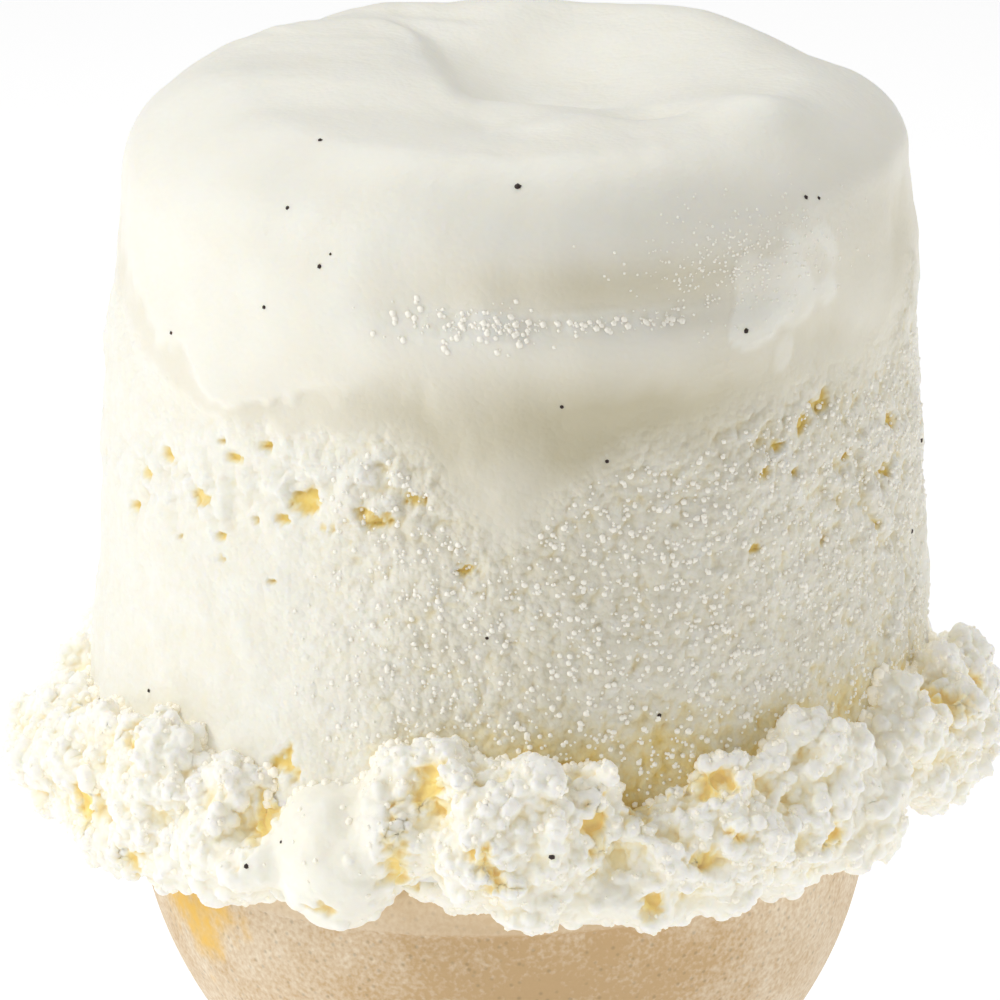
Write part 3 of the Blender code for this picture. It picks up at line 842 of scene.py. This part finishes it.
def pebbled(obj, count, small, large, rise, roughness_at):
    """Raises round crumbs of mixed sizes from the surface."""
    mesh = obj.data
    points, normals = read_points(mesh), read_normals(mesh)
    tree = KDTree(len(points))
    for i, place in enumerate(points):
        tree.insert(place, i)
    tree.balance()
    lift = np.zeros(len(points))
    for _ in range(count):
        middle = Vector(points[draw.randrange(len(points))])
        size = (small + (large - small) * draw.random() ** 2) * MM
        if draw.random() > roughness_at(middle) ** 1.5:
            continue
        for _, i, apart in tree.find_range(middle, size):
            lift[i] = max(lift[i], math.sqrt(size * size - apart * apart))
    write_points(mesh, points + normals * (rise * lift)[:, None])


def voxel_joined(parts, name, voxel):
    """The parts joined and remade as one skin of even faces."""
    deselect_all()
    for part in parts:
        part.select_set(True)
    bpy.context.view_layer.objects.active = parts[0]
    if len(parts) > 1:
        bpy.ops.object.join()
    obj = bpy.context.object
    bpy.ops.object.transform_apply(location=True, rotation=True, scale=True)
    remesh = obj.modifiers.new("even_faces", "REMESH")
    remesh.mode = "VOXEL"
    remesh.voxel_size = voxel
    apply_modifiers(obj)
    write_points(obj.data, averaged(obj.data, read_points(obj.data), 2))
    obj.name = name
    return obj


def lump_roughness(point):
    """Roughness of the nearest lumps, so that a melted one stays smooth."""
    azimuth = azimuth_of(point)
    total, weight = 0.0, 0.0
    for middle, level, half_width, half_height, _, rough in all_lumps:
        across = degrees_from(azimuth, middle) * 0.6 / half_width
        up = (point.z / MM - level) / half_height
        apart = math.hypot(across, up)
        if apart < 3.0:
            share = math.exp(-2.0 * apart * apart)
            total += rough * share
            weight += share
    return total / weight if weight > 0.0001 else 1.0


def creviced(point):
    """How deep in one of the skirt's crevices a place is, from 0 to 1: it sinks the surface there and gives
    it painted golden shade.
    """
    azimuth = azimuth_of(point)
    deepest = 0.0
    for middle, level, half_width, half_height in all_crevices:
        across = degrees_from(azimuth, middle) * 0.6 / half_width
        up = (point.z / MM - level) / half_height
        if abs(across) < 3.0 and abs(up) < 3.0:
            ragged = 0.9 * noise.noise(point / (0.9 * MM)) + 0.5 * noise.noise(point / (0.45 * MM))
            deepest = max(deepest, smooth_step(1.35 - 0.75 * math.hypot(across, up) + ragged))
    return deepest


# The skirt's cream has a faint painted glow, as if lit from inside.
crumbly_cream = cream_material("crumbly_frozen_cream", 0.07, 0.45, 0.8, 0.09)
skirts = []
for sector, sector_name in enumerate(("front", "right", "back", "left")):
    parts = []
    for azimuth, height, half_width, half_height, reach, rough in all_lumps:
        if abs(degrees_from(azimuth, 90.0 * sector)) > 45.0:
            continue
        centre = at_azimuth(azimuth, reach * MM - LUMP_DEPTH, height * MM)
        centre.z += RIM_TILT * centre.x
        parts.append(ball(centre, (half_width * MM, LUMP_DEPTH, half_height * MM), azimuth))
        for crumb in range(6 if rough > 0.5 else 1):
            turn = math.radians(60.0 * crumb + draw.uniform(0.0, 50.0))
            size = draw.uniform(1.1, 2.5) * MM
            aside = math.degrees(0.85 * half_width / reach * math.cos(turn))
            spot = at_azimuth(
                azimuth + aside,
                reach * MM - 0.42 * LUMP_DEPTH - 0.5 * size,
                centre.z + 0.85 * half_height * MM * math.sin(turn),
            )
            parts.append(ball(spot, (size, size, size), azimuth, 3))
    skirt = voxel_joined(parts, "skirt", 0.42 * MM)
    crumble(skirt, lump_roughness)
    skirt = voxel_joined([skirt], "skirt", SKIRT_VOXEL)
    points, normals = read_points(skirt.data), read_normals(skirt.data)
    for i, (place, normal) in enumerate(zip(points, normals)):
        point = Vector(place)
        fine = 0.25 * (domes(point, 0.7 * MM) - 0.6) + 0.15 * noise.noise(point / (0.4 * MM))
        points[i] = place + normal * (MM * (lump_roughness(point) * fine - 0.6 * creviced(point)))
    write_points(skirt.data, points)
    pebbled(skirt, 2200, 0.28, 0.75, 0.6, lump_roughness)
    finish_mesh(skirt, f"crumbly_skirt_{sector_name}")
    store(skirt, "melted", [1.0 - lump_roughness(vertex.co) for vertex in skirt.data.vertices])
    # Painted shade: the skirt's hollows between its lumps, which its colour turns golden.
    deep = 0.15 * hollows(skirt, 30, 0.7 * MM)
    deep += 2.2 * hollows(skirt, 160, 1.3 * MM)
    # Painted golden shade in the crevices between the lumps.
    gold_shade_values = np.array([creviced(vertex.co) for vertex in skirt.data.vertices])
    store(skirt, "hollow", deep + 0.05)
    store(skirt, "gold_shade", gold_shade_values)
    skirt.data.materials.append(crumbly_cream)
    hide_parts("ice_cream")
    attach(skirt, "root")
    skirts.append((skirt, deep + gold_shade_values))

# Grains and beads
#
# Ice grains that stand out white from the scoop's side, beads of melt along the fold and over the cap's
# front, and loose crumbs on the skirt: small round balls, half sunk in the surface that they sit on.
GRAIN_COUNT = 14000
CRUMB_COUNT = 2400
SEAM_CRUMBS = 380
FOLD_BEADS = 210
CAP_BEADS = 420
SEAM_REACH = 0.35 * MM
GRAIN_COLOUR = "#FFFBF0"
CRUMB_COLOUR = "#FEF9EC"


def skin_of(obj):
    """The surface of a piece, for finding places on it."""
    return BVHTree.FromPolygons(
        [vertex.co for vertex in obj.data.vertices], [face.vertices for face in obj.data.polygons]
    )


def settle(spots, surface, azimuth, height, size, sunk):
    """Adds a ball where a level ray from outside meets the surface, sunk by that share of its size."""
    start = at_azimuth(azimuth, 60.0 * MM, height)
    place, direction, _, _ = surface.ray_cast(start, Vector((-start.x, -start.y, 0.0)).normalized())
    if place:
        spots.append((place - direction * (sunk * size), size))


skin = skin_of(scoop)


def beside_scoop(place):
    """Whether a place touches the scoop's side."""
    return skin.find_nearest(Vector(place), SEAM_REACH)[0] is not None


def scatter(name, spots, material):
    """One piece of small balls, a (place, size) each: copies of one ice sphere."""
    deselect_all()
    bpy.ops.mesh.primitive_ico_sphere_add(subdivisions=1, radius=1.0)
    obj = bpy.context.object
    ball_points = read_points(obj.data)
    ball_faces = np.array([face.vertices for face in obj.data.polygons])
    places = np.array([tuple(place) for place, _ in spots])
    sizes = np.array([size for _, size in spots])
    points = (ball_points[None, :, :] * sizes[:, None, None] + places[:, None, :]).reshape(-1, 3)
    steps = np.arange(len(spots)) * len(ball_points)
    faces = (ball_faces[None, :, :] + steps[:, None, None]).reshape(-1, 3)
    mesh = bpy.data.meshes.new(name)
    mesh.from_pydata(points.tolist(), [], faces.tolist())
    obj.data = mesh
    obj.name = name
    only(obj)
    bpy.ops.object.shade_smooth()
    mesh.materials.append(material)
    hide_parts("ice_cream")
    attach(obj, "root")


# A faint painted glow in the grains and beads, as if lit from inside.
ice_grain = plain_material("ice_grain", GRAIN_COLOUR, 0.3, CREAM_PAINTED_GLOW, 0.06)
grain_spots = []
for _ in range(GRAIN_COUNT):
    azimuth = draw.uniform(-180.0, 180.0)
    height = draw.uniform(82.0, 110.0) * MM
    if height > film_edge(azimuth) - 0.5 * MM:
        continue
    if draw.random() > 1.3 * granular(azimuth, height) - 0.45:
        continue
    settle(grain_spots, skin, azimuth, height, (0.12 + 0.16 * draw.random() ** 2) * MM, 0.3)
scatter("ice_grains", grain_spots, ice_grain)

bead_spots = []
for number in range(FOLD_BEADS):
    azimuth = draw.gauss(-6.0, 7.0) if number % 2 else draw.uniform(-10.0, 26.0)
    height = FOLD_Z + draw.gauss(-0.7, 0.8 if number % 2 else 0.25) * MM
    settle(bead_spots, skin, azimuth, height, (0.10 + 0.26 * draw.random() ** 2) * MM, 0.5)
for _ in range(CAP_BEADS):
    azimuth = draw.gauss(36.0, 9.0)
    height = draw.gauss(120.5, 1.8) * MM
    settle(bead_spots, skin, azimuth, height, draw.uniform(0.07, 0.15) * MM, 0.45)
scatter("melt_beads", bead_spots, ice_grain)

# A faint painted glow in the crumbs, as if lit from inside.
loose_crumb = plain_material("loose_crumb", CRUMB_COLOUR, 0.5, CREAM_PAINTED_GLOW, 0.13)
crumb_spots = []
for skirt, deep in skirts:
    places, directions = read_points(skirt.data), read_normals(skirt.data)
    for _ in range(CRUMB_COUNT):
        i = draw.randrange(len(places))
        place = Vector(places[i])
        if deep[i] > 0.2 or draw.random() > lump_roughness(place):
            continue
        size = (0.12 + 0.22 * draw.random() ** 2) * MM
        crumb_spots.append((place - Vector(directions[i]) * (0.3 * size), size))
    seam = [i for i, place in enumerate(places) if place[2] > DRUM_FINE_Z and beside_scoop(place)]
    for i in draw.sample(seam, min(len(seam), SEAM_CRUMBS)):
        if deep[i] > 0.8:
            continue
        size = (0.15 + 0.35 * draw.random() ** 2) * MM
        crumb_spots.append((Vector(places[i]), size))
scatter("loose_crumbs", crumb_spots, loose_crumb)

# Vanilla specks
#
# Seeds and shreds of vanilla pod, 0.3 to 0.5 mm across and nearly black: small balls, sunk a third of their
# half size into the cream of the cap, the side and the skirt's front.
SPECK_SPOTS = (
    (-40.2, 127.0, 0.20), (-36.0, 123.7, 0.18), (1.9, 126.0, 0.30), (-28.0, 120.5, 0.20),
    (-26.5, 121.4, 0.12), (-37.1, 117.0, 0.18), (-57.0, 113.1, 0.17), (34.8, 115.8, 0.23),
    (49.5, 123.6, 0.20), (52.1, 123.3, 0.16), (7.7, 111.7, 0.17), (14.0, 107.7, 0.18), (-2.6, 95.5, 0.15),
    (20.5, 89.5, 0.22), (-58.4, 86.9, 0.18), (76.0, 96.0, 0.22), (84.0, 101.5, 0.25),
    (105.0, 118.0, 0.20), (131.0, 110.0, 0.22), (150.0, 121.0, 0.18), (168.0, 97.0, 0.20),
    (-170.0, 115.0, 0.22), (-152.0, 104.0, 0.18), (-128.0, 119.0, 0.20), (-110.0, 93.0, 0.20),
)
SEED_COLOUR = "#33231C"
SKIRT_SPECKS = ((-30.5, 79.3, 0.22), (-27.0, 81.1, 0.14), (5.0, 81.9, 0.26))
vanilla_seed = plain_material("vanilla_seed", SEED_COLOUR, 0.6)
speck_spots = []
front_skin = skin_of(skirts[0][0])
for spots, surface in ((SPECK_SPOTS, skin), (SKIRT_SPECKS, front_skin)):
    for azimuth, height, size in spots:
        settle(speck_spots, surface, azimuth, height * MM, size * MM, 0.3)
scatter("vanilla_specks", speck_spots, vanilla_seed)

# Camera, floor and light
#
# The camera stands where the photograph was taken from, a little above the rim. A large soft light stands on
# the left, a weaker one on the right, and the floor is plain and white.
CAMERA_X = -0.43 * MM
CAMERA_Y = -565.0 * MM
CAMERA_Z = 279.0 * MM
AIM_Z = 96.0 * MM
FOCAL_PIXELS = 8266.0
FRAME_PIXELS = 1000.0
SENSOR = 36.0

camera_data = bpy.data.cameras.new("camera")
camera_data.sensor_width = SENSOR
camera_data.lens = FOCAL_PIXELS / FRAME_PIXELS * SENSOR
camera_data.clip_start = 0.01
camera = bpy.data.objects.new("camera", camera_data)
bpy.context.scene.collection.objects.link(camera)
camera.location = (CAMERA_X, CAMERA_Y, CAMERA_Z)
aim = Vector((CAMERA_X, 0.0, AIM_Z)) - camera.location
camera.rotation_euler = aim.to_track_quat("-Z", "Y").to_euler()
bpy.context.scene.camera = camera

deselect_all()
bpy.ops.mesh.primitive_plane_add(size=6.0, location=(0.0, 0.0, -0.0002))
floor = bpy.context.object
floor.name = "floor"
floor.data.materials.append(plain_material("white_floor", "#F4F4F4", 0.9, "#FFFFFF", 0.27))


def soft_light(name, azimuth, elevation, distance, size, power):
    """A large square light that faces the scoop."""
    data = bpy.data.lights.new(name, "AREA")
    data.shape = "SQUARE"
    data.size = size
    data.energy = power
    light = bpy.data.objects.new(name, data)
    bpy.context.scene.collection.objects.link(light)
    middle = Vector((0.0, 0.0, 0.09))
    light.location = middle + at_azimuth(azimuth, distance * math.cos(math.radians(elevation)), 0.0)
    light.location.z += distance * math.sin(math.radians(elevation))
    light.rotation_euler = (middle - light.location).to_track_quat("-Z", "Y").to_euler()
    return light


soft_light("left_light", -75, 35, 0.6, 0.4, 1.85)
soft_light("right_light", 90, 10, 0.7, 0.4, 1.2)
soft_light("front_light", -25, 8, 0.9, 0.5, 0.9)

back_light = soft_light("back_light", 180, 60, 0.75, 0.6, 2.0)
back_light.location = (0.0, 0.42, 0.65)
back_light.rotation_euler = (0.0, 0.0, 0.0)

world = bpy.data.worlds.new("studio")
world.use_nodes = True
background = world.node_tree.nodes["Background"]
background.inputs["Color"].default_value = (1.0, 1.0, 1.0, 1.0)
background.inputs["Strength"].default_value = 0.3
bpy.context.scene.world = world
bpy.context.scene.view_settings.view_transform = "Standard"
